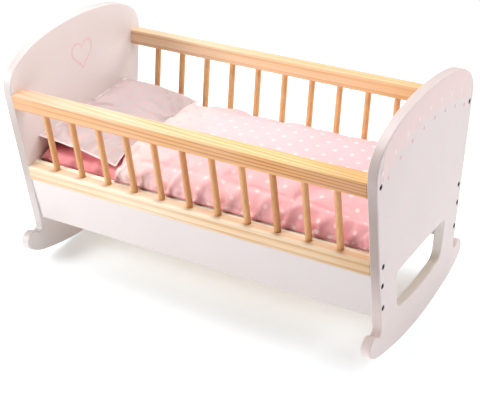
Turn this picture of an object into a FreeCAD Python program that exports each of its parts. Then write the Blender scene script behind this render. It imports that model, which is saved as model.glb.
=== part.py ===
import FreeCAD, Part
import math
import os

# Doll's cradle with bedding, in millimetres.
# X runs along the cradle, headboard at -X and footboard at +X. +Y is the back, +Z is up.
# The origin is on the floor, under the middle of the cradle, between the two rocker edges.

# ---------------------------------------------------------------- driving dimensions
overall_length = 500.0
panel_thickness = 12.0
panel_height = 305.8
edge_rounding = 1.5

# Sides of the end panels: half width at floor level, and how much it grows per mm of height.
side_base = 99.5
side_slope = 0.145

# Radii of the panel outline, from the top of the arch down to the rocker edge.
crown_radius = 400.0
crown_half_angle = 10.4
haunch_radius = 130.0
shoulder_radius = 37.0
notch_radius = 5.5
foot_radius = 12.2
foot_centre_y = 124.5
foot_centre_z = 36.0
toe_radius = 60.0
rocker_radius = 430.0

# Cut-out in the end panels. Its bottom edge runs parallel to the rocker edge.
cutout_top = 106.3
cutout_bottom = 48.2
cutout_side_base = 55.7
cutout_top_radius = 6.0
cutout_bottom_radius = 14.0

# Rails are square. Their heights are measured up the sloping side, to the rail's lower edge.
rail_size = 20.0
rail_rounding = 2.0
top_rail_up = 228.7
bottom_rail_up = 123.8

# Aprons hang under the bottom rails and lean in a little more than the sides do.
apron_thickness = 9.0
apron_height = 61.4
apron_setback_top = 1.2
apron_setback_bottom = 3.0

# Spindles between the rails.
dowel_count = 11
dowel_diameter = 8.0
dowel_tenon = 9.0
dowel_hole_depth = 9.5

# Board under the mattress, in grooves of the bottom rails.
base_thickness = 5.0
base_bottom = 129.5
groove_depth = 5.0
groove_play = 0.2
base_end_play = 0.5

# Socket screws, with heads just below the outer faces of the panels.
screw_head_diameter = 7.0
screw_head_height = 2.6
screw_head_recess = 0.4
screw_shank_diameter = 3.5
screw_length = 38.0
screw_socket_width = 3.0
screw_socket_depth = 1.6
# Screw places on a panel: half distance across, then height.
top_rail_screws = [(125.0, 240.2)]
bottom_rail_screws = [(109.6, 135.0)]
apron_screws = [(109.4, 110.0), (105.0, 78.8)]

# Radial play round dowels and screws.
fit_play = 0.05

# Bedding. Soft pieces keep this distance from each other and from the frame.
soft_gap = 0.3
mattress_half_width = 93.0
mattress_top = 158.0
mattress_rounding = 8.0
pillow_start = -118.5
pillow_half_width = 94.0
pillow_top_at_headboard = 188.0
pillow_top_at_middle = 176.0
pillow_rounding = 8.0
duvet_start = -117.5
duvet_lean = 18.0
duvet_half_width = 99.5
duvet_hem = 144.6
duvet_shoulder = 166.0
duvet_crown = 197.0

# ---------------------------------------------------------------- worked-out dimensions
taper = math.atan(side_slope)
cos_taper = math.cos(taper)
sin_taper = math.sin(taper)
outer_x = overall_length / 2
inner_x = outer_x - panel_thickness
inner_length = 2 * inner_x
dowel_pitch = inner_length / (dowel_count + 1)
mattress_bottom = base_bottom + base_thickness + soft_gap
bed_end = inner_x - 2 * soft_gap

front = -1
back = 1


# ---------------------------------------------------------------- helpers
def point(x, y, z):
    return FreeCAD.Vector(x, y, z)


def clock_angle(dy, dz):
    """Angle of a direction in the YZ plane, from straight up, growing towards +Y."""
    return math.atan2(dy, dz)


def on_circle(centre, radius, angle):
    return (centre[0] + radius * math.sin(angle), centre[1] + radius * math.cos(angle))


def arc_edge(centre, radius, start, end, side=1):
    """Arc in the YZ plane between two clock angles, mirrored to -Y when side is -1."""
    points = [on_circle(centre, radius, a) for a in (start, (start + end) / 2, end)]
    vectors = [point(0, side * y, z) for y, z in points]
    return Part.Arc(*vectors).toShape()


def line_edge(start, end, side=1):
    return Part.LineSegment(point(0, side * start[0], start[1]), point(0, side * end[0], end[1])).toShape()


def centre_beside_side(base, offset, other, distance, upper):
    """Centre of a circle at a distance from the sloping line y = base + slope * z, measured across it
    (positive outwards), and at a given distance from another point."""
    start_y = base + offset / cos_taper
    a = 1 + side_slope ** 2
    b = 2 * (side_slope * (start_y - other[0]) - other[1])
    c = (start_y - other[0]) ** 2 + other[1] ** 2 - distance ** 2
    root = math.sqrt(b * b - 4 * a * c)
    z = (-b + root) / (2 * a) if upper else (-b - root) / (2 * a)
    return (start_y + side_slope * z, z)


def circle_meeting(first, first_distance, second, second_distance):
    """Point at given distances from two points, on the side nearer to the middle of the panel."""
    dy = second[0] - first[0]
    dz = second[1] - first[1]
    gap = math.hypot(dy, dz)
    along = (first_distance ** 2 - second_distance ** 2 + gap ** 2) / (2 * gap)
    across = math.sqrt(first_distance ** 2 - along ** 2)
    candidates = []
    for turn in (1, -1):
        y = first[0] + (along * dy + turn * across * dz) / gap
        z = first[1] + (along * dz - turn * across * dy) / gap
        candidates.append((y, z))
    return min(candidates)


def solid_from_edges(edges, x_start, length):
    """Closed outline in the YZ plane, pulled along +X."""
    wire = Part.Wire(Part.__sortEdges__(edges))
    face = Part.Face(wire)
    face.translate(point(x_start, 0, 0))
    return face.extrude(point(length, 0, 0))


def solid_from_points(points, x_start, length):
    """Closed polygon given as (y, z) points, pulled along +X."""
    corners = [point(x_start, y, z) for y, z in points]
    wire = Part.makePolygon(corners + corners[:1])
    return Part.Face(wire).extrude(point(length, 0, 0))


def round_edges(solid, radius, wanted):
    return solid.makeFillet(radius, [edge for edge in solid.Edges if wanted(edge)])


def lies_across_x(edge):
    return edge.BoundBox.XLength < 0.01


def runs_along_x(edge):
    return edge.BoundBox.YLength < 0.01 and edge.BoundBox.ZLength < 0.01


def on_side(side, up, inward):
    """Point of the YZ plane on a side wall: a distance up the slope and a distance in from its outer face."""
    y = side_base + sin_taper * up - cos_taper * inward
    z = cos_taper * up + sin_taper * inward
    return (side * y, z)


def rod(start, direction, radius, length):
    return Part.makeCylinder(radius, length, start, direction)


# ---------------------------------------------------------------- end panels
def panel_outline():
    rocker_centre = (0, rocker_radius)
    foot_centre = (foot_centre_y, foot_centre_z)
    crown_centre = (0, panel_height - crown_radius)
    crown_end = math.radians(crown_half_angle)
    haunch_centre = on_circle(crown_centre, crown_radius - haunch_radius, crown_end)
    shoulder_centre = centre_beside_side(
        side_base, -shoulder_radius, haunch_centre, haunch_radius - shoulder_radius, True)
    haunch_end = clock_angle(shoulder_centre[0] - haunch_centre[0], shoulder_centre[1] - haunch_centre[1])
    side_normal = math.pi / 2 + taper
    notch_centre = centre_beside_side(side_base, notch_radius, foot_centre, notch_radius + foot_radius, True)
    notch_to_foot = clock_angle(foot_centre[0] - notch_centre[0], foot_centre[1] - notch_centre[1])
    toe_centre = circle_meeting(
        rocker_centre, rocker_radius - toe_radius, foot_centre, toe_radius - foot_radius)
    toe_start = clock_angle(foot_centre[0] - toe_centre[0], foot_centre[1] - toe_centre[1])
    toe_end = clock_angle(toe_centre[0] - rocker_centre[0], toe_centre[1] - rocker_centre[1])

    edges = [arc_edge(crown_centre, crown_radius, -crown_end, crown_end)]
    edges.append(arc_edge(rocker_centre, rocker_radius, toe_end, 2 * math.pi - toe_end))
    for side in (front, back):
        edges.append(arc_edge(haunch_centre, haunch_radius, crown_end, haunch_end, side))
        edges.append(arc_edge(shoulder_centre, shoulder_radius, haunch_end, side_normal, side))
        edges.append(line_edge(
            on_circle(shoulder_centre, shoulder_radius, side_normal),
            on_circle(notch_centre, notch_radius, side_normal + math.pi), side))
        edges.append(arc_edge(notch_centre, notch_radius, notch_to_foot, side_normal + math.pi, side))
        edges.append(arc_edge(foot_centre, foot_radius, notch_to_foot - math.pi, toe_start, side))
        edges.append(arc_edge(toe_centre, toe_radius, toe_start, toe_end, side))
    return edges


def cutout_outline():
    rocker_centre = (0, rocker_radius)
    bottom_arc_radius = rocker_radius - cutout_bottom
    top_corner_z = cutout_top - cutout_top_radius
    top_corner_y = cutout_side_base + side_slope * top_corner_z - cutout_top_radius / cos_taper
    top_corner = (top_corner_y, top_corner_z)
    bottom_corner = centre_beside_side(
        cutout_side_base, -cutout_bottom_radius, rocker_centre, bottom_arc_radius - cutout_bottom_radius, False)
    corner_end = clock_angle(bottom_corner[0] - rocker_centre[0], bottom_corner[1] - rocker_centre[1])
    side_normal = math.pi / 2 + taper

    edges = [arc_edge(rocker_centre, bottom_arc_radius, corner_end, 2 * math.pi - corner_end)]
    edges.append(line_edge((-top_corner_y, cutout_top), (top_corner_y, cutout_top)))
    for side in (front, back):
        edges.append(arc_edge(top_corner, cutout_top_radius, 0, side_normal, side))
        edges.append(line_edge(
            on_circle(top_corner, cutout_top_radius, side_normal),
            on_circle(bottom_corner, cutout_bottom_radius, side_normal), side))
        edges.append(arc_edge(bottom_corner, cutout_bottom_radius, side_normal, corner_end, side))
    return edges


def screw_positions():
    places = top_rail_screws + bottom_rail_screws + apron_screws
    return [(side * across, height) for side in (front, back) for across, height in places]


def screw_shank(end, across, height, play):
    """Shank of a screw, or with play its hole. end is -1 at the headboard and 1 at the footboard."""
    head_top = point(end * (outer_x - screw_head_recess), across, height)
    return rod(head_top, point(-end, 0, 0), screw_shank_diameter / 2 + play, screw_length)


def screw(end, across, height):
    head_top = point(end * (outer_x - screw_head_recess), across, height)
    head = rod(head_top, point(-end, 0, 0), screw_head_diameter / 2, screw_head_height)
    return screw_shank(end, across, height, 0).fuse(head).cut(hex_socket(end, across, height))


def screw_hole(end, across, height):
    """Hole through a panel: the shank's bore and the wider bore for the head."""
    mouth = point(end * (outer_x + 1), across, height)
    depth = 1 + screw_head_recess + screw_head_height
    head_bore = rod(mouth, point(-end, 0, 0), screw_head_diameter / 2 + fit_play, depth)
    return screw_shank(end, across, height, fit_play).fuse(head_bore)


def end_panel(end):
    x_start = -outer_x if end < 0 else inner_x
    board = solid_from_edges(panel_outline(), x_start, panel_thickness)
    opening = solid_from_edges(cutout_outline(), x_start - 1, panel_thickness + 2)
    board = round_edges(board.cut(opening), edge_rounding, lies_across_x)
    for across, height in screw_positions():
        board = board.cut(screw_hole(end, across, height))
    return board


def hex_socket(end, across, height):
    corner_radius = screw_socket_width / math.sqrt(3)
    corners = []
    for step in range(6):
        angle = math.radians(60 * step)
        corners.append((across + corner_radius * math.cos(angle), height + corner_radius * math.sin(angle)))
    return solid_from_points(corners, end * (outer_x - screw_head_recess), -end * screw_socket_depth)


def panel_screws(end):
    return Part.makeCompound([screw(end, across, height) for across, height in screw_positions()])


# ---------------------------------------------------------------- rails, aprons and spindles
def dowel_axis(side):
    """Foot and direction of the spindles of one side, at X = 0, on the top face of the bottom rail."""
    low = on_side(side, bottom_rail_up + rail_size, rail_size / 2)
    high = on_side(side, top_rail_up, rail_size / 2)
    return point(0, *low), point(0, *high)


def dowel_x(number):
    return (number - (dowel_count + 1) / 2) * dowel_pitch


def drill_ends(piece, side, places):
    """Screw holes in both ends of a rail or apron."""
    for end in (-1, 1):
        for across, height in places:
            piece = piece.cut(screw_shank(end, side * across, height, fit_play))
    return piece


def rail_bar(side, up):
    corners = [(up, 0), (up + rail_size, 0), (up + rail_size, rail_size), (up, rail_size)]
    outline = [on_side(side, height, inward) for height, inward in corners]
    bar = solid_from_points(outline, -inner_x, inner_length)
    return round_edges(bar, rail_rounding, runs_along_x)


def dowel_holes(side, at_top):
    low, high = dowel_axis(side)
    along = (high - low).normalize()
    start = high if at_top else low
    direction = along if at_top else along * -1
    holes = []
    for number in range(1, dowel_count + 1):
        mouth = start - direction + point(dowel_x(number), 0, 0)
        holes.append(rod(mouth, direction, dowel_diameter / 2 + fit_play, dowel_hole_depth + 1))
    return Part.makeCompound(holes)


def top_rail(side):
    rail = rail_bar(side, top_rail_up).cut(dowel_holes(side, True))
    return drill_ends(rail, side, top_rail_screws)


def bottom_rail(side):
    """Rail with blind holes for the spindles and a level groove for the base board in its inner face."""
    rail = rail_bar(side, bottom_rail_up).cut(dowel_holes(side, False))
    groove = Part.makeBox(
        inner_length + 2, 2 * groove_bottom_y(), base_thickness + 2 * groove_play,
        point(-inner_x - 1, -groove_bottom_y(), base_bottom - groove_play))
    return drill_ends(rail.cut(groove), side, bottom_rail_screws)


def groove_bottom_y():
    return on_side(back, bottom_rail_up + rail_size / 2, rail_size)[0] + groove_depth


def base_board():
    half = groove_bottom_y() - groove_play
    length = inner_length - 2 * base_end_play
    return Part.makeBox(length, 2 * half, base_thickness, point(-length / 2, -half, base_bottom))


def apron(side):
    low = bottom_rail_up - apron_height
    corners = [
        (bottom_rail_up, apron_setback_top),
        (bottom_rail_up, apron_setback_top + apron_thickness),
        (low, apron_setback_bottom + apron_thickness),
        (low, apron_setback_bottom),
    ]
    outline = [on_side(side, up, inward) for up, inward in corners]
    board = solid_from_points(outline, -inner_x, inner_length)
    board = round_edges(board, edge_rounding, runs_along_x)
    return drill_ends(board, side, apron_screws)


def dowel(side, number):
    low, high = dowel_axis(side)
    along = (high - low).normalize()
    start = low - along * dowel_tenon + point(dowel_x(number), 0, 0)
    length = (high - low).Length + 2 * dowel_tenon
    return rod(start, along, dowel_diameter / 2, length)


# ---------------------------------------------------------------- bedding
def mattress():
    height = mattress_top - mattress_bottom
    pad = Part.makeBox(
        2 * bed_end, 2 * mattress_half_width, height, point(-bed_end, -mattress_half_width, mattress_bottom))
    return pad.makeFillet(mattress_rounding, pad.Edges)


def pillow():
    bottom = mattress_top + soft_gap
    profile = [
        (-bed_end, bottom), (pillow_start, bottom),
        (pillow_start, pillow_top_at_middle), (-bed_end, pillow_top_at_headboard),
    ]
    corners = [point(x, -pillow_half_width, z) for x, z in profile]
    face = Part.Face(Part.makePolygon(corners + corners[:1]))
    cushion = face.extrude(point(0, 2 * pillow_half_width, 0))
    return cushion.makeFillet(pillow_rounding, cushion.Edges)


def duvet():
    """Crowned quilt whose long edges hang down beside the mattress."""
    inner_half = mattress_half_width + soft_gap
    underside = mattress_top + soft_gap
    left = (-duvet_half_width, duvet_shoulder)
    right = (duvet_half_width, duvet_shoulder)
    crown = Part.Arc(point(0, *left), point(0, 0, duvet_crown), point(0, *right)).toShape()
    rest = [
        right, (duvet_half_width, duvet_hem), (inner_half, duvet_hem), (inner_half, underside),
        (-inner_half, underside), (-inner_half, duvet_hem), (-duvet_half_width, duvet_hem), left,
    ]
    edges = [crown] + [line_edge(a, b) for a, b in zip(rest[:-1], rest[1:])]
    quilt = solid_from_edges(edges, duvet_start, bed_end - duvet_start)
    profile = [(-1, underside), (0, underside), (duvet_lean, duvet_crown + 1), (-1, duvet_crown + 1)]
    corners = [point(duvet_start + x, -duvet_half_width - 1, z) for x, z in profile]
    lean = Part.Face(Part.makePolygon(corners + corners[:1]))
    return quilt.cut(lean.extrude(point(0, 2 * duvet_half_width + 2, 0)))


# ---------------------------------------------------------------- the whole cradle
def build():
    pieces = {
        "headboard": end_panel(-1),
        "footboard": end_panel(1),
        "base_board": base_board(),
        "headboard_screws": panel_screws(-1),
        "footboard_screws": panel_screws(1),
        "mattress": mattress(),
        "pillow": pillow(),
        "duvet": duvet(),
    }
    for side, name in ((front, "front"), (back, "back")):
        pieces[name + "_top_rail"] = top_rail(side)
        pieces[name + "_bottom_rail"] = bottom_rail(side)
        pieces[name + "_apron"] = apron(side)
        for number in range(1, dowel_count + 1):
            pieces["%s_dowel_%02d" % (name, number)] = dowel(side, number)
    return pieces


os.makedirs("parts", exist_ok=True)
for node, shape in build().items():
    shape.exportStep("parts/" + node + ".step")
    print(node, "solids", len(shape.Solids), "valid", shape.isValid(), "volume", round(shape.Volume, 1))
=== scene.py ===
import math

import bpy
import numpy as np
from mathutils import Matrix, Vector, noise


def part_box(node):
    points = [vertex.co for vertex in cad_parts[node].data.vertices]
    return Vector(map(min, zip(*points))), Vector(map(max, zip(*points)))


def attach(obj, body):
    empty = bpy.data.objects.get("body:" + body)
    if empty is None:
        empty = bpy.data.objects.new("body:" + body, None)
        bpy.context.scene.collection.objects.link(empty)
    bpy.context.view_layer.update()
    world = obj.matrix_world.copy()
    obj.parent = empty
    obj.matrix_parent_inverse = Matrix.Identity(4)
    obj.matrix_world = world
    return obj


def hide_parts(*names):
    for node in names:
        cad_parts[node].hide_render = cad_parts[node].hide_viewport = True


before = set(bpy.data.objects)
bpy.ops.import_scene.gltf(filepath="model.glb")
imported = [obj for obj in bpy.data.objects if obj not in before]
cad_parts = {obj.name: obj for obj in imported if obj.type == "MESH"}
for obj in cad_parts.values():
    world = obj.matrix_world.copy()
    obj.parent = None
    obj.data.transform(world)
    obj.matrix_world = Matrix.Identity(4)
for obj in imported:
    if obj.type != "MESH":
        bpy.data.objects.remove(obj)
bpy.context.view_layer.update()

# Doll's cradle with bedding. Metres, in the CAD frame: headboard at -X, footboard at +X, +Z up.

scene = bpy.context.scene
MM = 0.001

# ---------------------------------------------------------------- camera
CAMERA_PLACE = Vector((0.6853, -1.1158, 0.8151))
CAMERA_AZIMUTH = math.radians(31.48)
CAMERA_ELEVATION = math.radians(28.68)
CAMERA_ROLL = math.radians(-1.26)
CAMERA_LENS_MM = 88.2


def make_camera():
    """Camera looking down at the cradle's front side and footboard."""
    a, e = CAMERA_AZIMUTH, CAMERA_ELEVATION
    back = Vector((math.sin(a) * math.cos(e), -math.cos(a) * math.cos(e), math.sin(e)))
    level_right = Vector((math.cos(a), math.sin(a), 0))
    level_up = back.cross(level_right)
    right = level_right * math.cos(CAMERA_ROLL) + level_up * math.sin(CAMERA_ROLL)
    up = back.cross(right)
    camera = bpy.data.objects.new("camera", bpy.data.cameras.new("camera"))
    scene.collection.objects.link(camera)
    turn = Matrix((right, up, back)).transposed()
    camera.matrix_world = Matrix.Translation(CAMERA_PLACE) @ turn.to_4x4()
    camera.data.sensor_width = 36
    camera.data.lens = CAMERA_LENS_MM
    scene.camera = camera


make_camera()


# ---------------------------------------------------------------- studio
FLOOR_HALF = 12.0
FLOOR_COLOUR = (0.83, 0.90, 0.95, 1)
FLOOR_GLOW = 0.34
WORLD_GLOW = 0.12
WHITE_LIGHT = (1, 1, 1, 1)
LIT_PLACE = (0, 0, 0.1)


def new_object(name, mesh):
    """Object of a mesh or a light, put in the scene."""
    made = bpy.data.objects.new(name, mesh)
    scene.collection.objects.link(made)
    return made


def softbox(name, place, size, power):
    """Square lamp that faces the cradle, itself unseen. size is its side in metres, and power is in watts."""
    lamp = bpy.data.lights.new(name, "AREA")
    lamp.shape = "SQUARE"
    lamp.size = size
    lamp.energy = power
    made = bpy.data.objects.new(name, lamp)
    scene.collection.objects.link(made)
    made.location = place
    made.rotation_euler = (Vector(LIT_PLACE) - Vector(place)).to_track_quat("-Z", "Y").to_euler()
    made.visible_camera = False


def make_studio():
    """White glowing floor and soft lights from above, from both ends and from behind."""
    mesh = bpy.data.meshes.new("floor")
    corners = [(x * FLOOR_HALF, y * FLOOR_HALF, 0) for x, y in ((-1, -1), (1, -1), (1, 1), (-1, 1))]
    mesh.from_pydata(corners, [], [(0, 1, 2, 3)])
    floor = new_object("floor", mesh)
    paint = bpy.data.materials.new("floor_white")
    paint.use_nodes = True
    shader = paint.node_tree.nodes["Principled BSDF"]
    shader.inputs["Base Color"].default_value = FLOOR_COLOUR
    shader.inputs["Roughness"].default_value = 0.9
    shader.inputs["Specular IOR Level"].default_value = 0.1
    shader.inputs["Emission Color"].default_value = WHITE_LIGHT
    shader.inputs["Emission Strength"].default_value = FLOOR_GLOW
    mesh.materials.append(paint)

    world = bpy.data.worlds.new("studio")
    scene.world = world
    world.use_nodes = True
    background = world.node_tree.nodes["Background"]
    background.inputs["Color"].default_value = WHITE_LIGHT
    background.inputs["Strength"].default_value = WORLD_GLOW
    softbox("overhead", (0, 0.1, 1.3), 0.7, 13)
    softbox("headboard_side", (-0.85, -0.82, 0.60), 0.5, 11.5)
    softbox("footboard_side", (1.6, 0, 0.7), 0.8, 4)
    softbox("behind_foot", (1.1, 1.1, 1.1), 0.8, 11)
    softbox("behind_head", (-1.1, 1.1, 1.1), 0.8, 5)
    scene.view_settings.view_transform = "Standard"


make_studio()


# ---------------------------------------------------------------- material helpers
class Graph:
    """Node tree of one material. Inputs may be sockets or plain values."""

    def __init__(self, name):
        self.material = bpy.data.materials.new(name)
        self.material.use_nodes = True
        self.tree = self.material.node_tree
        self.shader = self.tree.nodes["Principled BSDF"]

    def put(self, socket, value):
        """Link a socket, or set a plain value. None leaves the input as it is."""
        if isinstance(value, bpy.types.NodeSocket):
            self.tree.links.new(value, socket)
        elif value is not None:
            socket.default_value = value

    def node(self, kind, output=0, inputs=(), **settings):
        """New shader node with its settings and inputs. Gives one of its outputs."""
        made = self.tree.nodes.new("ShaderNode" + kind)
        for key, value in settings.items():
            setattr(made, key, value)
        for key, value in dict(inputs).items():
            self.put(made.inputs[key], value)
        return made.outputs[output]

    def maths(self, operation, a, b=None, c=None):
        values = {i: v for i, v in enumerate((a, b, c)) if v is not None}
        return self.node("Math", 0, values, operation=operation)

    def place(self):
        """Object coordinates, in metres."""
        return self.node("TexCoord", "Object")

    def split(self, vector):
        """x, y and z of a vector."""
        return self.node("SeparateXYZ", 0, {0: vector}).node.outputs

    def scaled(self, vector, scale, shift=(0, 0, 0)):
        return self.node("Mapping", 0, {"Vector": vector, "Location": shift, "Scale": scale})

    def noise(self, vector, scale=1.0, detail=2.0, roughness=0.5):
        inputs = {"Vector": vector, "Scale": scale, "Detail": detail, "Roughness": roughness}
        return self.node("TexNoise", "Fac", inputs)

    def ramp(self, value, stops):
        """Colours between stops of (position, colour)."""
        made = self.tree.nodes.new("ShaderNodeValToRGB")
        self.put(made.inputs[0], value)
        elements = made.color_ramp.elements
        while len(elements) < len(stops):
            elements.new(0.5)
        for element, (position, colour) in zip(elements, stops):
            element.position = position
            element.color = colour if len(colour) == 4 else (*colour, 1)
        return made.outputs[0]

    def span(self, value, low, high, start=0.0, end=1.0, smooth=False):
        """value from low..high mapped to start..end and clamped."""
        inputs = {"Value": value, "From Min": low, "From Max": high, "To Min": start, "To Max": end}
        kind = "SMOOTHSTEP" if smooth else "LINEAR"
        return self.node("MapRange", 0, inputs, interpolation_type=kind)

    def mix(self, share, a, b, blend="MIX"):
        """Colour a where share is 0 and b where it is 1. With another blend, b acts on a by that share."""
        made = self.tree.nodes.new("ShaderNodeMix")
        made.data_type = "RGBA"
        made.blend_type = blend
        self.put(made.inputs[0], share)
        for socket, value in ((made.inputs[6], a), (made.inputs[7], b)):
            if isinstance(value, tuple) and len(value) == 3:
                value = (*value, 1)
            self.put(socket, value)
        return made.outputs[2]

    def bump(self, height, strength, distance, normal=None):
        inputs = {"Height": height, "Strength": strength, "Distance": distance, "Normal": normal}
        return self.node("Bump", 0, {k: v for k, v in inputs.items() if v is not None})

    def finish(self, **inputs):
        """Set the surface's inputs, named with underscores for spaces, and give the material."""
        for key, value in inputs.items():
            self.put(self.shader.inputs[key.replace("_", " ")], value)
        return self.material


def scale_tone(tone, share, limit=1.0):
    """Tone made deeper or paler by a factor, with no channel over limit."""
    return tuple(min(limit, c * share) for c in tone)


def srgb(text):
    """Linear colour of a hex triplet."""
    values = [int(text[i:i + 2], 16) / 255 for i in (0, 2, 4)]
    return tuple(v / 12.92 if v <= 0.04045 else ((v + 0.055) / 1.055) ** 2.4 for v in values)


def dress(node, material):
    """Gives a CAD node a material, and keeps its mesh as it is."""
    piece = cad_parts[node]
    if not piece.material_slots:
        piece.data.materials.append(material)
    for slot in piece.material_slots:
        slot.link = "OBJECT"
        slot.material = material


# ---------------------------------------------------------------- materials of the frame
def paint_material(name, tone, panel=None):
    """Satin paint on board: faint cloudiness, a trace of roller texture and softened sheen. panel is the
    box of an end panel. Its edges carry painted shade with fine streaks: darkest and warmest up the sides,
    lighter over the arch, and painted light at the lobes and round the cut-out, where shade falls."""
    g = Graph(name)
    place = g.place()
    cloud = g.noise(place, 9, 3)
    colour = g.mix(g.span(cloud, 0.3, 0.7), scale_tone(tone, 0.975), scale_tone(tone, 1.015))
    if panel:
        x, y, z = g.split(place)
        from_middle = g.maths("ABSOLUTE", g.maths("SUBTRACT", x, (panel[0].x + panel[1].x) / 2))
        edge = g.span(from_middle, 5.9 * MM, 4.4 * MM)
        streak = g.noise(g.scaled(place, (900, 30, 30)), 1, 3)
        # Painted shade: the edge strips are darkened up the sides and less over the arch. The fine streaks
        # are the edges' own texture.
        painted_edge_shade_tone = tuple(c * share for c, share in zip(tone, (0.56, 0.51, 0.48)))
        painted_edge_light_and_shade = g.mix(g.span(z, 0.20, 0.29), painted_edge_shade_tone, scale_tone(tone, 0.82))
        # Painted light: the edges at the bottom lobes are lighter, most on the footboard.
        lobe_painted_light = 0.90 if panel[0].x < 0 else 1.25
        painted_edge_light_and_shade = g.mix(g.span(z, 0.14, 0.02), painted_edge_light_and_shade, scale_tone(tone, lobe_painted_light))
        painted_edge_light_and_shade = g.mix(g.span(streak, 0.4, 0.7, 0.0, 0.25), painted_edge_light_and_shade, scale_tone(tone, 0.55))
        # Painted light: the edges round the cut-out are painted pale, where the panel and the base shade
        # them.
        cutout_painted_light = g.maths("MULTIPLY", g.span(g.maths("ABSOLUTE", y), 85 * MM, 75 * MM), g.span(z, 0.14, 0.12))
        colour = g.mix(edge, colour, g.mix(cutout_painted_light, painted_edge_light_and_shade, scale_tone(tone, 1.4, 0.95)))
    roller = g.noise(place, 900, 3, 0.6)
    waves = g.noise(g.scaled(place, (60, 60, 14)), 1, 3)
    normal = g.bump(waves, 0.12, 0.0006)
    normal = g.bump(roller, 0.10, 0.00012, normal)
    rough = g.span(g.noise(place, 40, 3), 0.3, 0.7, 0.40, 0.48)
    return g.finish(Base_Color=colour, Roughness=rough, Normal=normal, Specular_IOR_Level=0.45)


# The rails' materials change between their head end and their foot end, at this distance from the middle.
RAIL_REACH = 0.24


def pine_material(name, pale, line, pitches, across, anchor, strengths, wander, seed, heart=None):
    """Lacquered pine with growth rings cut along X. The rings are planes that follow each other in the
    direction across in YZ. pitches is the distance between them at the head end and at the foot end, and they
    draw together towards the line through anchor. strengths is how strong they are at those ends. pale is the
    tone at the head end and at the foot end. wander is how far the rings stray, and seed sets where. heart is
    (tone, line, depth, depth): the darker heartwood with its own lines up to the first depth, and the sapwood
    from the second on. As the depth parts the front face from the top, it also paints the front face darker
    than the top as painted shade. Both ends of a rail are darkened with painted shade, where they meet the
    end panels."""
    g = Graph(name)
    place = g.place()
    x, y, z = g.split(place)

    def along_rail(at_head, at_foot):
        return g.span(x, -RAIL_REACH, RAIL_REACH, at_head, at_foot)

    slow = g.noise(g.scaled(place, (6, 30, 30), (seed, 2 * seed, 0)), 1, 2)
    depth = g.maths("MULTIPLY_ADD", g.maths("SUBTRACT", y, anchor[0]), across[0],
                    g.maths("MULTIPLY", g.maths("SUBTRACT", z, anchor[1]), across[1]))
    depth = g.maths("MULTIPLY_ADD", g.maths("SUBTRACT", slow, 0.5), 2 * wander, depth)
    per_metre = along_rail(1 / pitches[0], 1 / pitches[1])
    uneven = g.noise(g.scaled(place, (1.5, 160, 160), (seed, 0, 0)), 1, 1)
    turn = g.maths("FRACT", g.maths("MULTIPLY_ADD", uneven, 0.7, g.maths("MULTIPLY", depth, per_metre)))
    dark = g.ramp(turn, [(0.0, (0, 0, 0)), (0.30, (0, 0, 0)), (0.62, (0.3, 0.3, 0.3)), (0.80, (1, 1, 1)),
                         (0.94, (1, 1, 1)), (1.0, (0, 0, 0))])
    ground = g.mix(along_rail(0.0, 1.0), *pale)
    # The heart tone and lines cover the front face and the sapwood the top. The front face is thus painted
    # darker than the top as painted shade, more so towards the foot.
    if heart:
        share = g.span(depth, heart[2], heart[3], 1.0, 0.0)
        ground = g.mix(g.maths("MULTIPLY", share, g.span(x, -RAIL_REACH, 0.20, 0.7, 1.0)), ground, heart[0])
        line = g.mix(share, line, heart[1])
    toned = g.mix(g.maths("MULTIPLY", dark, along_rail(*strengths)), ground, line)
    fibre = g.noise(g.scaled(place, (14, 800, 800), (seed, 0, 0)), 1, 3, 0.6)
    toned = g.mix(g.span(fibre, 0.40, 0.75, 0.0, 0.22), toned, srgb("A8743C"))
    blotch = g.noise(g.scaled(place, (7, 40, 40), (3 * seed, 0, 1)), 1, 2)
    toned = g.mix(g.span(blotch, 0.35, 0.8, 0.0, 0.35), toned, scale_tone(pale[0], 1.10))
    # Painted shade: both ends of each rail are darkened where they meet the end panels.
    ends = g.span(g.maths("ABSOLUTE", x), 0.150, 0.245, 0.0, 0.6)
    toned = g.mix(ends, toned, (0.72, 0.62, 0.48), "MULTIPLY")
    normal = g.bump(fibre, 0.10, 0.00025)
    normal = g.bump(turn, 0.05, 0.0002, normal)
    rough = g.span(fibre, 0.3, 0.7, 0.38, 0.48)
    return g.finish(Base_Color=toned, Roughness=rough, Normal=normal, Coat_Weight=0.04, Coat_Roughness=0.25)


def dowel_material():
    """Lacquered hardwood: fine upright fibres, its own tone on each dowel, and painted light on the back
    ones.
    """
    g = Graph("dowel_wood")
    place = g.place()
    tone = g.noise(g.scaled(place, (23, 6, 0)), 1, 0)
    fibre = g.noise(g.scaled(place, (700, 700, 22)), 1, 3, 0.6)
    flecks = g.noise(g.scaled(place, (420, 420, 60), (5, 1, 0)), 1, 2)
    colour = g.mix(g.span(tone, 0.3, 0.7), srgb("E8AE70"), srgb("CF8B48"))
    # Painted light: the dowels at the back are painted paler.
    back = g.span(g.split(place)[1], -0.05, 0.05, 0.0, 0.75)
    colour = g.mix(back, colour, srgb("F7CE8E"))
    colour = g.mix(g.span(fibre, 0.35, 0.72, 0.0, 0.45), colour, srgb("A96F3A"))
    colour = g.mix(g.span(flecks, 0.62, 0.74, 0.0, 0.35), colour, srgb("83552B"))
    normal = g.bump(fibre, 0.15, 0.0002)
    return g.finish(Base_Color=colour, Roughness=g.span(fibre, 0.3, 0.7, 0.38, 0.5), Normal=normal,
                    Coat_Weight=0.35, Coat_Roughness=0.25)


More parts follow.
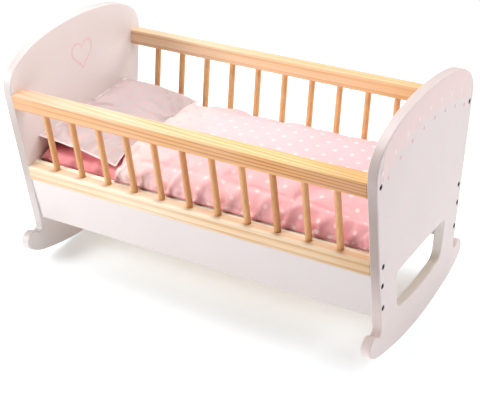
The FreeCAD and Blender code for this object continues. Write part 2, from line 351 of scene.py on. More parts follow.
def plywood_material():
    """Bare birch plywood with its plies at the edges."""
    g = Graph("base_plywood")
    place = g.place()
    grain = g.noise(g.scaled(place, (9, 160, 9)), 1, 4, 0.6)
    colour = g.ramp(grain, [(0.3, srgb("E7C999")), (0.55, srgb("D9B581")), (0.75, srgb("C79B63"))])
    plies = g.node("TexWave", "Fac", {"Vector": place, "Scale": 190, "Distortion": 0.3}, bands_direction="Z")
    colour = g.mix(g.span(plies, 0.4, 0.6, 0.0, 0.25), colour, srgb("B98A55"))
    return g.finish(Base_Color=colour, Roughness=0.6, Normal=g.bump(grain, 0.2, 0.0003))


def screw_material():
    """Blackened steel."""
    g = Graph("black_oxide")
    speck = g.noise(g.place(), 2500, 2)
    colour = g.ramp(speck, [(0.3, (0.006, 0.006, 0.006)), (0.8, (0.03, 0.026, 0.024))])
    return g.finish(Base_Color=colour, Metallic=0.85, Roughness=g.span(speck, 0.3, 0.7, 0.35, 0.5))


def dress_frame():
    """A material for each CAD node of the frame."""
    # The aprons' paint is a darker tone than the panels', as painted shade.
    shaded_apron_paint = paint_material("apron_paint_shaded", srgb("DCD0CD"))
    dress("headboard", paint_material("headboard_paint", srgb("E8DEDB"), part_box("headboard")))
    dress("footboard", paint_material("footboard_paint", srgb("E3D2CE"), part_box("footboard")))
    for node in ("front_apron", "back_apron"):
        dress(node, shaded_apron_paint)
    low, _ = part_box("front_top_rail")
    dress("front_top_rail", pine_material(
        "pine_front_top", (srgb("EDC8B2"), srgb("ECC87C")), srgb("E09414"), (8.5 * MM, 3.9 * MM),
        (0.85, 1.05), (low.y, low.z), (0.35, 1.1), 1.0 * MM, 3.1,
        (srgb("E09C46"), srgb("A2520C"), 18 * MM, 21 * MM)))
    low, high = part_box("back_top_rail")
    dress("back_top_rail", pine_material(
        "pine_back_top", (srgb("F8DABC"), srgb("E9BE84")), srgb("D3984E"), (9 * MM, 8 * MM), (0.75, 0.66),
        (high.y, low.z), (0.5, 0.6), 0.6 * MM, 7.7))
    # The bottom rail's top face is painted paler than its front as painted light, where the duvet and the top
    # rail shade it.
    low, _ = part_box("front_bottom_rail")
    dress("front_bottom_rail", pine_material(
        "pine_front_bottom", (srgb("F6F0DC"), srgb("F8EACE")), srgb("CC9050"), (9.5 * MM, 9 * MM),
        (0.30, 1.0), (low.y, low.z), (0.45, 0.7), 0.4 * MM, 2.2,
        (srgb("EECBA4"), srgb("CC9050"), 17.5 * MM, 19.5 * MM)))
    low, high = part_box("back_bottom_rail")
    dress("back_bottom_rail", pine_material(
        "pine_back_bottom", (srgb("EFCDA8"), srgb("EFCDA8")), srgb("CC9050"), (8 * MM, 10 * MM), (-0.2, 1.0),
        (high.y, low.z), (0.7, 0.6), 0.5 * MM, 5.2))
    wood = dowel_material()
    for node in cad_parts:
        if "_dowel_" in node:
            dress(node, wood)
    dress("base_board", plywood_material())
    metal = screw_material()
    dress("headboard_screws", metal)
    dress("footboard_screws", metal)


dress_frame()


# ---------------------------------------------------------------- soft goods: helpers
def grid_steps(count, crowding):
    """count + 1 values from -1 to 1, closer together towards both ends as crowding goes from 0 to 1."""
    even = np.linspace(-1, 1, count + 1)
    return (1 - crowding) * even + crowding * (1.5 * even - 0.5 * even ** 3)


class SewnSheets:
    """Closed mesh of two cloth sheets on one grid, sewn together round their edge. over and under give the
    point for (u, v), both from -1 to 1, and agree along the edge. Faces of the lower sheet have
    material 1."""

    def __init__(self, name, columns, rows, over, under, crowding=0.3):
        self.columns, self.rows = columns, rows
        us, vs = grid_steps(columns, crowding), grid_steps(rows, crowding)
        points = []
        self.index = np.zeros((2, columns + 1, rows + 1), int)
        for sheet, shape in ((0, over), (1, under)):
            for i, u in enumerate(us):
                for j, v in enumerate(vs):
                    if sheet and (i in (0, columns) or j in (0, rows)):
                        self.index[1, i, j] = self.index[0, i, j]
                        continue
                    self.index[sheet, i, j] = len(points)
                    points.append(shape(u, v))
        faces = []
        for sheet in (0, 1):
            grid = self.index[sheet].tolist()
            for i in range(columns):
                for j in range(rows):
                    ring = [grid[i][j], grid[i + 1][j], grid[i + 1][j + 1], grid[i][j + 1]]
                    faces.append(ring if sheet == 0 else ring[::-1])
        mesh = bpy.data.meshes.new(name)
        mesh.from_pydata(points, [], faces)
        mesh.materials.append(None)
        mesh.materials.append(None)
        mesh.polygons.foreach_set("material_index", np.repeat([0, 1], len(faces) // 2))
        mesh.polygons.foreach_set("use_smooth", np.ones(len(faces), bool))
        self.piece = new_object(name, mesh)

    def ring(self, inset):
        """Vertices of the upper sheet that lie inset cells inside the seam, in order round it."""
        grid, far_i, far_j = self.index[0], self.columns - inset, self.rows - inset
        ring = [grid[i, inset] for i in range(inset, far_i)] + [grid[far_i, j] for j in range(inset, far_j)]
        ring += [grid[i, far_j] for i in range(far_i, inset, -1)]
        return ring + [grid[inset, j] for j in range(far_j, inset, -1)]

    def points(self):
        """Vertex places as they are now."""
        return coordinates(self.piece.data)

    def inflate(self, pinned, pressure, cap, spare, gather, stiffness=0.1, frames=20):
        """Cloth simulation under air pressure. The sheets have spare cloth and the seam is drawn in, so it
        wrinkles. No point ends further than cap from where it started."""
        start = self.points()
        paint_group(self.piece, "seam", self.ring(0))
        paint_group(self.piece, "pinned", pinned)
        modifier = self.piece.modifiers.new("cloth", "CLOTH")
        cloth = modifier.settings
        cloth.quality = 6
        cloth.mass = 0.15
        cloth.tension_stiffness = 20
        cloth.compression_stiffness = 20
        cloth.shear_stiffness = 4
        cloth.bending_stiffness = stiffness
        cloth.air_damping = 2
        cloth.use_pressure = True
        cloth.uniform_pressure_force = pressure
        cloth.effector_weights.gravity = 0
        cloth.vertex_group_shrink = "seam"
        cloth.shrink_min = -spare
        cloth.shrink_max = gather
        cloth.vertex_group_mass = "pinned"
        modifier.collision_settings.use_collision = False
        modifier.collision_settings.use_self_collision = False
        modifier.point_cache.frame_start = 1
        modifier.point_cache.frame_end = frames
        for step in range(1, frames + 1):
            scene.frame_set(step)
        shaped = self.piece.evaluated_get(bpy.context.evaluated_depsgraph_get())
        moved = coordinates(shaped.data) - start
        self.piece.modifiers.remove(modifier)
        scene.frame_set(1)
        length = np.linalg.norm(moved, axis=1, keepdims=True)
        place_points(self.piece.data, start + moved * cap / np.maximum(length, cap))

    def lay_flat(self):
        """Stores where each point lies on the flat cloth, in metres, as "cloth", so patterns follow folds.
        The upper sheet comes last, so the seam has its values."""
        points = self.points()
        flat = np.zeros_like(points)
        for sheet in (1, 0):
            grid = points[self.index[sheet]]
            steps_along = np.linalg.norm(np.diff(grid, axis=0), axis=2).mean(axis=1)
            steps_across = np.linalg.norm(np.diff(grid, axis=1), axis=2).mean(axis=0)
            along = np.concatenate([[0], np.cumsum(steps_along)])
            across = np.concatenate([[0], np.cumsum(steps_across)])
            across -= across[self.rows // 2]
            flat[self.index[sheet], 0] = along[:, None]
            flat[self.index[sheet], 1] = across[None, :]
        layer = self.piece.data.attributes.new("cloth", "FLOAT_VECTOR", "POINT")
        layer.data.foreach_set("vector", flat.ravel())

    def subdivide(self):
        """One level of subdivision, with its result kept as the mesh."""
        modifier = self.piece.modifiers.new("smooth", "SUBSURF")
        modifier.levels = modifier.render_levels = 1
        shaped = self.piece.evaluated_get(bpy.context.evaluated_depsgraph_get())
        mesh = bpy.data.meshes.new_from_object(shaped)
        self.piece.modifiers.clear()
        self.piece.data = mesh


def coordinates(mesh):
    """Vertex places as an array with a row for each vertex."""
    values = np.zeros(len(mesh.vertices) * 3)
    mesh.vertices.foreach_get("co", values)
    return values.reshape(-1, 3)


def place_points(mesh, points):
    """Move the vertices to the rows of points."""
    mesh.vertices.foreach_set("co", points.ravel())
    mesh.update()


def paint_group(piece, name, members):
    """Vertex group with full weight on its members."""
    piece.vertex_groups.new(name=name).add([int(i) for i in members], 1.0, "REPLACE")


def swell(distance, reach, power, root):
    """Rise of a stuffed edge: 0 at the seam and 1 from reach inwards."""
    near = min(1.0, max(0.0, 1.0 - distance / reach))
    return (1.0 - near ** power) ** root


def wavy(x, y, size, seed):
    """Smooth noise from about -1 to 1 with bumps of about the given size."""
    return noise.noise(Vector((x / size, y / size, seed)))


def puckers(along, size, seed):
    """Gathered cloth from -1 to 1 along a seam: round puffs with sharp creases between."""
    return 3.2 * abs(noise.noise(Vector((along / size, seed, 0.0)))) ** 0.8 - 1.0


def near_seam(inside):
    """Weight of what a seam does to the cloth: 0 on it, most 2 mm inside it, and fading away over 9 mm."""
    inside = max(0.0, inside)
    return math.exp(-inside / (9 * MM)) * min(1.0, inside / (2 * MM))


def soft_limit(values, start, end):
    """Values above start bend over so that they never pass end."""
    room = end - start
    return np.where(values > start, start + room * np.tanh((values - start) / room), values)


def cord_along(name, points, radius, material, body):
    """Round piping through the points, closed."""
    curve = bpy.data.curves.new(name, "CURVE")
    curve.dimensions = "3D"
    curve.bevel_depth = radius
    curve.bevel_resolution = 2
    line = curve.splines.new("NURBS")
    line.points.add(len(points) - 1)
    for target, point in zip(line.points, points):
        target.co = (*point, 1)
    line.order_u = 3
    line.use_cyclic_u = True
    rope = bpy.data.objects.new(name + "_line", curve)
    scene.collection.objects.link(rope)
    bpy.context.view_layer.update()
    mesh = bpy.data.meshes.new_from_object(rope.evaluated_get(bpy.context.evaluated_depsgraph_get()))
    bpy.data.objects.remove(rope)
    mesh.materials.clear()
    mesh.materials.append(material)
    mesh.polygons.foreach_set("use_smooth", np.ones(len(mesh.polygons), bool))
    flat = coordinates(mesh)
    mesh.attributes.new("cloth", "FLOAT_VECTOR", "POINT").data.foreach_set("vector", flat.ravel())
    piece = new_object(name, mesh)
    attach(piece, body)


def stitches_along(name, points, normals, spacing, material, body):
    """Row of thread stitches on the cloth along a closed line."""
    proud = 0.15 * MM
    loop = [Vector(p) + Vector(n) * proud for p, n in zip(points, normals)]
    loop.append(loop[0])
    marks, walked, wanted = [], 0.0, 0.0
    for a, b in zip(loop, loop[1:]):
        step = (b - a).length
        while wanted <= walked + step and step > 0:
            marks.append((a.lerp(b, (wanted - walked) / step), (b - a).normalized()))
            wanted += spacing
        walked += step
    places, faces = [], []
    sides, thick, reach = 5, 0.28 * MM, 0.36 * spacing
    for middle, along in marks[:-1]:
        side = along.orthogonal().normalized()
        up = along.cross(side)
        first = len(places)
        for shift, width in ((-1.0, 0.35), (-0.6, 1.0), (0.6, 1.0), (1.0, 0.35)):
            for k in range(sides):
                turn = 2 * math.pi * k / sides
                places.append(middle + along * shift * reach
                              + (side * math.cos(turn) + up * math.sin(turn)) * thick * width)
        for level in range(3):
            for k in range(sides):
                a, b = first + level * sides + k, first + level * sides + (k + 1) % sides
                faces.append((a, b, b + sides, a + sides))
        faces.append(tuple(first + k for k in reversed(range(sides))))
        faces.append(tuple(first + 3 * sides + k for k in range(sides)))
    mesh = bpy.data.meshes.new(name)
    mesh.from_pydata(places, [], faces)
    mesh.materials.append(material)
    mesh.polygons.foreach_set("use_smooth", np.ones(len(faces), bool))
    piece = new_object(name, mesh)
    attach(piece, body)


# ---------------------------------------------------------------- soft goods: materials
# Printed dots: distance along a row, distance between rows, how far each row starts after the last, and
# radius.
DOT_PITCH = 23.3 * MM
DOT_ROW = 16.0 * MM
DOT_SHIFT = 6.6 * MM
DOT_RADIUS = 2.6 * MM

RAIL_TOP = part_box("front_bottom_rail")[1].z

GREY_PINK = srgb("CCBAB9")
PALE_PINK = srgb("EBD3CF")
FAINT_DOT = srgb("E6A9AD")
LIGHT_PINK = srgb("F8CACD")
PINK = srgb("F5BCC0")
DROP_SHADE_PINK = srgb("E8979A")
STRONG_PINK = srgb("EE9AA2")
WHITE = srgb("FFF3EE")


def fabric_material(name, tone, dot=None, fade=None):
    """Woven cotton in one tone with printed dots of the colour dot. fade is (other tone, its dot colour,
    start, end): the cloth has the other tone before start, measured along it. After end it goes on from
    light pink to this tone, with painted shade low down on the drop that grows towards the foot, and its
    dots get stronger."""
    g = Graph(name)
    cloth = g.node("Attribute", "Vector", attribute_name="cloth")
    along, across, _ = g.split(cloth)
    ground = tone
    if fade:
        stray = 0.03
        drift = g.maths("MULTIPLY_ADD", g.noise(cloth, 25, 2), stray, along)
        share = g.span(drift, fade[2] + stray / 2, fade[3] + stray / 2, smooth=True)
        # Painted shade: the drop is deeper pink low down by the rail, growing towards the foot.
        low = g.span(g.split(g.place())[2], RAIL_TOP + 46 * MM, RAIL_TOP + 10 * MM)
        drop_painted_shade = g.maths("MULTIPLY", low, g.span(along, 0.12, 0.28, 0.0, 0.75))
        full = g.mix(drop_painted_shade, g.mix(g.span(along, 0.16, 0.33), LIGHT_PINK, tone), DROP_SHADE_PINK)
        ground = g.mix(share, fade[0], full)
        if dot:
            dot = g.mix(share, fade[1], dot)
    if dot:
        row = g.maths("ROUND", g.maths("DIVIDE", across, DOT_ROW))
        shifted = g.maths("MULTIPLY_ADD", row, -DOT_SHIFT, along)
        column = g.maths("ROUND", g.maths("DIVIDE", shifted, DOT_PITCH))
        off_along = g.maths("MULTIPLY_ADD", column, -DOT_PITCH, shifted)
        off_across = g.maths("MULTIPLY_ADD", row, -DOT_ROW, across)
        square = g.maths("MULTIPLY_ADD", off_along, off_along, g.maths("MULTIPLY", off_across, off_across))
        ragged = g.maths("MULTIPLY_ADD", g.noise(cloth, 700, 2), 0.0010, g.maths("SQRT", square))
        inside = g.span(ragged, DOT_RADIUS + 0.0014, DOT_RADIUS - 0.0002)
        inside = g.maths("MULTIPLY", inside, g.span(along, 0.05, 0.25, 0.45, 0.62) if fade else 0.72)
        ground = g.mix(inside, ground, dot)
    shade = scale_tone(tone, 0.72)
    blotch = g.noise(cloth, 22, 3)
    ground = g.mix(g.span(blotch, 0.40, 0.75, 0.0, 0.22), ground, shade)
    warp = g.node("TexWave", "Fac", {"Vector": cloth, "Scale": 560, "Distortion": 0.8}, bands_direction="X")
    weft = g.node("TexWave", "Fac", {"Vector": cloth, "Scale": 560, "Distortion": 0.8}, bands_direction="Y")
    weave = g.maths("MULTIPLY_ADD", warp, 0.5, g.maths("MULTIPLY", weft, 0.5))
    slub_along = g.noise(g.scaled(cloth, (90, 1100, 1)), 1, 3)
    slub_across = g.noise(g.scaled(cloth, (1100, 90, 1)), 1, 3)
    slub = g.maths("MULTIPLY_ADD", slub_along, 0.5, g.maths("MULTIPLY", slub_across, 0.5))
    ground = g.mix(g.span(slub, 0.42, 0.62, 0.16, 0.0), ground, shade)
    ground = g.mix(g.span(weave, 0.2, 0.8, 0.08, 0.0), ground, shade)
    crumple = g.noise(g.scaled(cloth, (70, 55, 1)), 1, 4, 0.6)
    normal = g.bump(crumple, 0.35, 0.0016)
    normal = g.bump(slub, 0.30, 0.0005, normal)
    normal = g.bump(weave, 0.20, 0.00012, normal)
    return g.finish(Base_Color=ground, Roughness=g.span(slub, 0.3, 0.7, 0.80, 0.92), Normal=normal,
                    Sheen_Weight=0.2, Sheen_Roughness=0.5, Specular_IOR_Level=0.2)


def thread_material():
    """Twisted cotton thread in two pinks."""
    g = Graph("sewing_thread")
    twist = g.noise(g.place(), 3000, 2)
    return g.finish(Base_Color=g.mix(g.span(twist, 0.3, 0.7), srgb("F3D6D6"), srgb("E6BDC0")), Roughness=0.7,
                    Normal=g.bump(twist, 0.3, 0.0001))


def dress_cushion(sewn, body, upper, lower):
    """Materials and body of a finished cushion, named as its CAD node, whose CAD piece is hidden."""
    sewn.piece.data.materials[0] = upper
    sewn.piece.data.materials[1] = lower
    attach(sewn.piece, body)
    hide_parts(body)


# ---------------------------------------------------------------- soft goods: mattress
MATTRESS_LOW, MATTRESS_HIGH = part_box("mattress")


def make_mattress():
    """Thin pad with rounded sides, a seam round the middle of its height and creases along its sides."""
    reach_x, reach_y = MATTRESS_HIGH.x - 0.6 * MM, MATTRESS_HIGH.y + 4.6 * MM
    middle = (MATTRESS_LOW.z + MATTRESS_HIGH.z) / 2
    half = (MATTRESS_HIGH.z - MATTRESS_LOW.z) / 2 - 0.8 * MM

    def sheet(sign):
        def shape(u, v):
            x, y = u * reach_x, v * reach_y
            rise = swell(reach_x - abs(x), 9 * MM, 2.2, 0.5) * swell(reach_y - abs(y), 10 * MM, 2.2, 0.5)
            dent = 0.7 * MM * wavy(x, y, 45 * MM, 3 + sign)
            return (x, y, middle + sign * rise * (half + dent))
        return shape

    sewn = SewnSheets("mattress_pad", 120, 52, sheet(1), sheet(-1), 0.6)
    sewn.inflate(sewn.index[1][5:-5, 5:-5].ravel(), 2.0, 1.6 * MM, 0.03, 0.08)
    points = sewn.points()
    for place in points:
        inside = min(reach_x - abs(place[0]), reach_y - abs(place[1]))
        around = place[0] if reach_y - abs(place[1]) < reach_x - abs(place[0]) else place[1]
        pull = 3.0 * MM * near_seam(inside) * puckers(around + 0.3 * place[2], 19 * MM, 4.5)
        place[1] += min(pull, 0.3 * MM) * (1 if place[1] > 0 else -1)
        place[2] += 0.6 * pull * (1 if place[2] > middle else -1)
    points[:, 0] = np.clip(points[:, 0], MATTRESS_LOW.x, MATTRESS_HIGH.x)
    points[:, 1] = np.clip(points[:, 1], -reach_y - 0.3 * MM, reach_y + 0.3 * MM)
    points[:, 2] = np.clip(points[:, 2], MATTRESS_LOW.z + 0.1 * MM, MATTRESS_HIGH.z - 0.1 * MM)
    place_points(sewn.piece.data, points)
    sewn.lay_flat()
    sewn.subdivide()
    cotton = fabric_material("mattress_cotton", STRONG_PINK)
    dress_cushion(sewn, "mattress", cotton, cotton)
    cord_along("mattress_seam", points[sewn.ring(0)][::2], 0.6 * MM, cotton, "mattress")


make_mattress()


# ---------------------------------------------------------------- soft goods: pillow
PILLOW_LOW, PILLOW_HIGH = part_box("pillow")
# Width of the flat hem round it.
FLANGE = 3.5 * MM


def make_pillow():
    """Flat cushion with a hem, leaning on the headboard. Pale dotted cloth above, plain pink below."""
    start, end = PILLOW_LOW.x + 0.4 * MM, PILLOW_HIGH.x - 0.6 * MM
    half_width = PILLOW_HIGH.y - 0.6 * MM
    half_length = (end - start) / 2
    floor = MATTRESS_HIGH.z + 0.3 * MM

    def seam_height(u, v):
        """Heights of the corners, blended. The near corner at the free end hangs, and the back arches."""
        towards_foot, towards_back = (u + 1) / 2, (v + 1) / 2
        near = 174.5 - 2.0 * towards_foot
        far = 184 - 10.5 * towards_foot
        hang = 12.5 * towards_foot ** 1.6 * math.exp(-towards_back / 0.10)
        arch = 5.5 * (1 - u * u) * towards_back ** 2
        wave = 0.9 * wavy(u * half_length, v * half_width, 20 * MM, 6.5)
        return (near + (far - near) * towards_back - hang + arch + wave) * MM

    def outline(u, v):
        """The sides pull in between the corners."""
        x = start + half_length * (u + 1) - 0.8 * MM * max(0, u) ** 3 * (1 - v * v)
        y = half_width * v * (1 - 0.02 * (1 - u * u))
        return x, y

    def inside(u, v):
        """Distances inside the hem, along and across the bed."""
        return max(0.0, (1 - abs(u)) * half_length - FLANGE), max(0.0, (1 - abs(v)) * half_width - FLANGE)

    def over(u, v):
        x, y = outline(u, v)
        in_x, in_y = inside(u, v)
        rise = swell(in_x, 42 * MM, 1.8, 0.8) * swell(in_y, 55 * MM, 1.8, 0.8)
        hem = 0.45 * MM if abs(u) < 1 and abs(v) < 1 else 0.0
        dent = 1.0 + 0.22 * wavy(x, y, 42 * MM, 9)
        return (x, y, seam_height(u, v) + hem + 8.5 * MM * rise * dent)

    def under(u, v):
        x, y = outline(u, v)
        in_x, in_y = inside(u, v)
        near = min(in_x / (42 * MM), in_y / (38 * MM), 1.0)
        return (x, y, max(floor, seam_height(u, v) - 0.4 * MM - 26 * MM * near ** 0.9))

    sewn = SewnSheets("pillow_cushion", 44, 70, over, under, 0.35)
    upper, lower = (sheet[1:-1, 1:-1].ravel() for sheet in sewn.index)
    resting = lower[sewn.points()[lower, 2] < floor + 0.6 * MM]
    sewn.inflate(np.concatenate([resting, sewn.ring(0)]), 3.0, 3.5 * MM, 0.045, 0.0)
    points = sewn.points()
    for k in upper:
        x, y, _ = points[k]
        inside = min(x - start, end - x, half_width - abs(y)) - FLANGE
        around = x if half_width - abs(y) < min(x - start, end - x) else y
        points[k, 2] += 1.0 * MM * near_seam(inside) * puckers(around + 0.3 * inside, 13 * MM, 2.5)
    points[upper, 2] = np.maximum(points[upper, 2], points[lower, 2] + 0.8 * MM)
    points[:, 0] = np.clip(points[:, 0], PILLOW_LOW.x - 0.4 * MM, PILLOW_HIGH.x - 0.3 * MM)
    points[:, 2] = np.maximum(points[:, 2], floor)
    place_points(sewn.piece.data, points)
    sewn.lay_flat()
    normals = np.array([vertex.normal for vertex in sewn.piece.data.vertices])
    ring, seam = sewn.ring(2), sewn.ring(0)
    # The outermost cells of the upper sheet, whose faces come first, are the hem.
    cells = ((i, j) for i in range(sewn.columns) for j in range(sewn.rows))
    for face, (i, j) in zip(sewn.piece.data.polygons, cells):
        if i in (0, sewn.columns - 1) or j in (0, sewn.rows - 1):
            face.material_index = 2
    sewn.subdivide()
    # The hem and the piping are paler than the cloth, as a painted highlight along the lit edge.
    sewn.piece.data.materials.append(fabric_material("pillow_hem_painted_highlight", srgb("E2D2D1")))
    pale = fabric_material("pillow_cotton", GREY_PINK, FAINT_DOT)
    dress_cushion(sewn, "pillow", pale, fabric_material("pillow_back_cotton", STRONG_PINK))
    piping = fabric_material("pillow_piping_painted_highlight", srgb("F0E2E0"))
    cord_along("pillow_seam", points[seam], 0.7 * MM, piping, "pillow")
    stitches_along("pillow_stitches", points[ring], normals[ring], 3.2 * MM, thread_material(), "pillow")


make_pillow()


# ---------------------------------------------------------------- soft goods: duvet
DUVET_LOW, DUVET_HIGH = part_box("duvet")
# The dowels lean outwards. The quilt's drop stays this far from the middle at the height of the rail's
# top, and may reach further out above it.
DROP_REACH = 104.3 * MM
DOWEL_LEAN = 0.2


def drop_limit(height):
    """How far from the middle the drop may reach at a height."""
    return DROP_REACH + DOWEL_LEAN * np.maximum(0.0, height - RAIL_TOP)


def make_duvet():
    """Puffy quilt over the mattress. Its long edges hang down beside the mattress, gathered at the seam."""
    start, end = DUVET_LOW.x - 0.4 * MM, DUVET_HIGH.x - 0.8 * MM
    length = end - start
    floor = MATTRESS_HIGH.z + 1.2 * MM
    flat = 90.5 * MM
    bend = 12 * MM
    half = flat + bend * math.pi / 2 + 1.5 * MM

    def draped(v):
        """Point and outward direction, across the bed, of a sheet laid over the mattress."""
        s = abs(v) * half
        side = math.copysign(1, v)
        turn = min(max(0.0, s - flat) / bend, math.pi / 2)
        y = min(s, flat) + bend * math.sin(turn)
        z = floor - bend + bend * math.cos(turn) - max(0.0, s - flat - bend * math.pi / 2)
        return side * y, z, side * math.sin(turn), math.cos(turn)

    def crown(x):
        """Thickness along the bed: fuller at the foot, lower towards the head."""
        return (27.0 + 1.2 * math.sin((x + 0.02) * 21) + 4.0 * (x + 0.12) / 0.35) * MM

    def over(u, v):
        x = start + length * (u + 1) / 2
        y, z, out_y, out_z = draped(v)
        drop = (1 - abs(v)) * half
        dome = (1 - (1 - min(1.0, drop / (70 * MM))) ** 2) ** 1.25
        rise = 0.14 * swell(drop, 7 * MM, 2.0, 0.6) + 0.86 * dome
        rise *= swell(x - start, 22 * MM, 2.2, 0.6) * swell(end - x, 20 * MM, 2.4, 0.55)
        side = math.copysign(0.4, v)
        lobes = 1.0 + 0.10 * wavy(x, y, 60 * MM, 1.5) + 0.26 * abs(v) ** 3 * wavy(x, side, 34 * MM, 5.5)
        thick = crown(x) * rise * lobes
        return (x, y + out_y * thick, z + out_z * thick)

    def under(u, v):
        y, z, _, _ = draped(v)
        return (start + length * (u + 1) / 2, y, z)

    columns, rows, crowding = 118, 84, 0.35
    sewn = SewnSheets("duvet_quilt", columns, rows, over, under, crowding)
    sewn.inflate(sewn.index[1][1:-1, 1:-1].ravel(), 2.5, 5 * MM, 0.06, 0.10, 0.05)
    points = sewn.points()
    vs = grid_steps(rows, crowding)
    for i in range(1, columns):
        for j, v in enumerate(vs[1:-1], 1):
            place = points[sewn.index[0][i, j]]
            _, _, out_y, out_z = draped(v)
            drop, side = (1 - abs(v)) * half, math.copysign(3.0, v)
            ends = min(place[0] - start, end - place[0])
            fade = min(1.0, drop / (3 * MM))
            room = drop_limit(place[2])
            place[1] = math.copysign(float(soft_limit(abs(place[1]), room - 2.5 * MM, room)), place[1])
            small = 3.6 * MM * fade * math.exp(-drop / (11 * MM))
            small *= puckers(place[0] + 0.25 * drop, 15 * MM, side)
            large = 3.0 * MM * fade * math.exp(-drop / (30 * MM))
            large *= puckers(place[0] - 0.6 * drop, 40 * MM, 2 * side)
            tucks = 1.2 * MM * math.exp(-ends / (9 * MM)) * puckers(place[1], 15 * MM, 9.5)
            tucks *= min(1, ends / (3 * MM))
            shift = min(small, 0.2 * MM) + min(large, 0.5 * MM) + tucks
            place[1] += out_y * shift
            place[2] += out_z * shift
    points[:, 0] = np.clip(points[:, 0], DUVET_LOW.x - 0.8 * MM, DUVET_HIGH.x - 0.2 * MM)
    outward = np.minimum(np.abs(points[:, 1]), drop_limit(points[:, 2]) + 0.2 * MM)
    points[:, 1] = np.copysign(outward, points[:, 1])
    # The cloth lies on the rail, and inside it the hem may hang a little below the rail's top.
    rail_inside, hem_lowest = 99.2 * MM, 144 * MM
    lowest = np.where(outward > rail_inside, RAIL_TOP + 0.6 * MM, hem_lowest)
    points[:, 2] = np.maximum(points[:, 2], lowest)
    place_points(sewn.piece.data, points)
    sewn.lay_flat()
    normals = np.array([vertex.normal for vertex in sewn.piece.data.vertices])
    ring, seam = sewn.ring(2), sewn.ring(0)
    sewn.subdivide()
    pink = fabric_material("duvet_cotton", PINK, WHITE, (PALE_PINK, FAINT_DOT, 0.045, 0.100))
    dress_cushion(sewn, "duvet", pink, fabric_material("duvet_lining", PALE_PINK))
    piping = fabric_material("duvet_seam_cotton", srgb("EE9DA7"))
    cord_along("duvet_seam", points[seam], 0.55 * MM, piping, "duvet")
    stitches_along("duvet_stitches", points[ring], normals[ring], 3.4 * MM, thread_material(), "duvet")


make_duvet()


# ---------------------------------------------------------------- printed decoration
def printed_slab(name, points, faces, face_x, material):
    """Thin closed film of paint on a face towards +X. points are (y, z). Faces turn anticlockwise, seen
    from +X."""
    levels = (face_x + 0.02 * MM, face_x + 0.14 * MM)
    count = len(points)
    places = [(x, y, z) for x in levels for y, z in points]
    sides = [edge for face in faces for edge in zip(face, face[1:] + face[:1])]
    known = set(sides)
    rim = [(a, b) for a, b in sides if (b, a) not in known]
    film = [tuple(count + i for i in face) for face in faces] + [tuple(reversed(face)) for face in faces]
    film += [(a, b, count + b, count + a) for a, b in rim]
    mesh = bpy.data.meshes.new(name)
    mesh.from_pydata(places, [], film)
    mesh.materials.append(material)
    piece = new_object(name, mesh)
    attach(piece, "frame")


def print_paint(name, tone):
    """Printing ink on the panel paint, a little uneven."""
    g = Graph(name)
    cloud = g.noise(g.place(), 60, 3)
    colour = g.mix(g.span(cloud, 0.3, 0.7), tone, scale_tone(tone, 1.05))
    roller = g.noise(g.place(), 900, 3, 0.6)
    return g.finish(Base_Color=colour, Roughness=g.span(cloud, 0.3, 0.7, 0.42, 0.5),
                    Normal=g.bump(roller, 0.10, 0.00012), Specular_IOR_Level=0.45)


# Heart on the headboard: its middle, the size of one unit of the curve, and half the width of its line.
HEART_MIDDLE = Vector((6.3, 249.7)) * MM
HEART_UNIT = 1.28 * MM
HEART_LINE = 1.85 * MM
# Scalloped border on the footboard: width and rise of a scallop, height of the lowest points in the
# middle, and how much they fall to the sides, in metres for each square metre.
SCALLOP_PITCH = 30.5 * MM
SCALLOP_RISE = 5 * MM
SCALLOP_TOP = 270 * MM
SCALLOP_FALL = 1.75


def heart_point(turn):
    """Point of the textbook heart curve, 32 units wide and 29 high, round its middle, anticlockwise."""
    height = 13 * math.cos(turn) - 5 * math.cos(2 * turn) - 2 * math.cos(3 * turn) - math.cos(4 * turn)
    return Vector((-16 * math.sin(turn) ** 3, height + 2.5))


def print_heart():
    """Even outline of a heart, as a band between two loops round its middle."""
    points, steps = [], 56
    for k in range(steps):
        even = 2 * math.pi * k / steps
        ray = heart_point(even + 0.3 * math.sin(2 * even)) * HEART_UNIT
        for reach in (ray.length + HEART_LINE, ray.length - HEART_LINE):
            points.append(tuple(HEART_MIDDLE + ray.normalized() * reach))
    count = len(points)
    faces = [(k, (k + 2) % count, (k + 3) % count, k + 1) for k in range(0, count, 2)]
    face_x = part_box("headboard")[1].x
    printed_slab("heart_print", points, faces, face_x, print_paint("heart_ink", srgb("E8CBC8")))


def border_level(y):
    """Height of the line that the lowest points of the scallops lie on."""
    return SCALLOP_TOP - SCALLOP_FALL * y ** 2


def scallop_level(y):
    """Height of the border's lower edge."""
    middle = SCALLOP_PITCH * round(y / SCALLOP_PITCH)
    radius = (SCALLOP_PITCH ** 2 / 4 + SCALLOP_RISE ** 2) / (2 * SCALLOP_RISE)
    rise = radius - math.sqrt(radius ** 2 - (y - middle) ** 2)
    return border_level(y) + rise


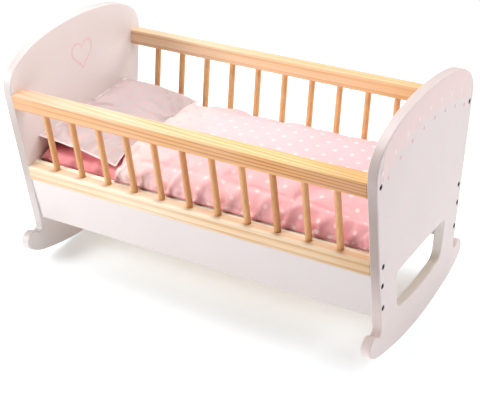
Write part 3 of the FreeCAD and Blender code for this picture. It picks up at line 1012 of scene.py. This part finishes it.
def print_border():
    """Pink border under the footboard's arch, a paler spot in each scallop and a drop between scallops."""
    face_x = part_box("footboard")[1].x
    corners = coordinates(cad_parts["footboard"].data)
    outer = corners[(corners[:, 0] > face_x - 0.05 * MM) & (corners[:, 2] > 0.19)]
    arch = sorted({(round(float(y), 5), round(float(z), 5)) for _, y, z in outer})
    widest = max(abs(y) for y, _ in arch)
    ys = np.linspace(-widest, widest, 221)
    arch_y, arch_z = zip(*arch)
    tops = np.interp(ys, arch_y, arch_z) - 0.3 * MM
    points, faces, last = [], [], None
    for y, top in zip(ys, tops):
        bottom = scallop_level(float(y))
        if top - bottom < 0.4 * MM:
            last = None
            continue
        points += [(float(y), bottom), (float(y), float(top))]
        here = len(points) - 2
        if last is not None:
            faces.append((last, here, here + 1, last + 1))
        last = here
    printed_slab("border_print", points, faces, face_x, print_paint("border_ink", srgb("E8CDC9")))
    spots, spot_faces, drops, drop_faces = [], [], [], []
    for k in range(-4, 5):
        y = k * SCALLOP_PITCH
        add_oval(spots, spot_faces, y, border_level(y) + 11 * MM, 2.6 * MM, 3.2 * MM, 0.0)
    for k in range(-4, 4):
        y = (k + 0.5) * SCALLOP_PITCH
        add_oval(drops, drop_faces, y, border_level(y) - 6.5 * MM, 1.4 * MM, 2.6 * MM, 0.35)
    spot_paint = print_paint("spot_ink", srgb("EEDDD8"))
    printed_slab("border_spots", spots, spot_faces, face_x + 0.13 * MM, spot_paint)
    printed_slab("border_drops", drops, drop_faces, face_x, print_paint("drop_ink", srgb("EF9AA8")))


def add_oval(points, faces, y, z, half_width, half_height, taper):
    """Oval, narrower at the top by taper, as a fan of quads round its middle."""
    first = len(points)
    sides = 16
    points.append((y, z))
    for k in range(sides):
        turn = 2 * math.pi * k / sides
        narrow = 1 - taper * max(0.0, math.sin(turn))
        points.append((y + half_width * narrow * math.cos(turn), z + half_height * math.sin(turn)))
    for k in range(0, sides, 2):
        ring = [first + 1 + (k + shift) % sides for shift in (0, 1, 2)]
        faces.append((first, *ring))


print_heart()
print_border()
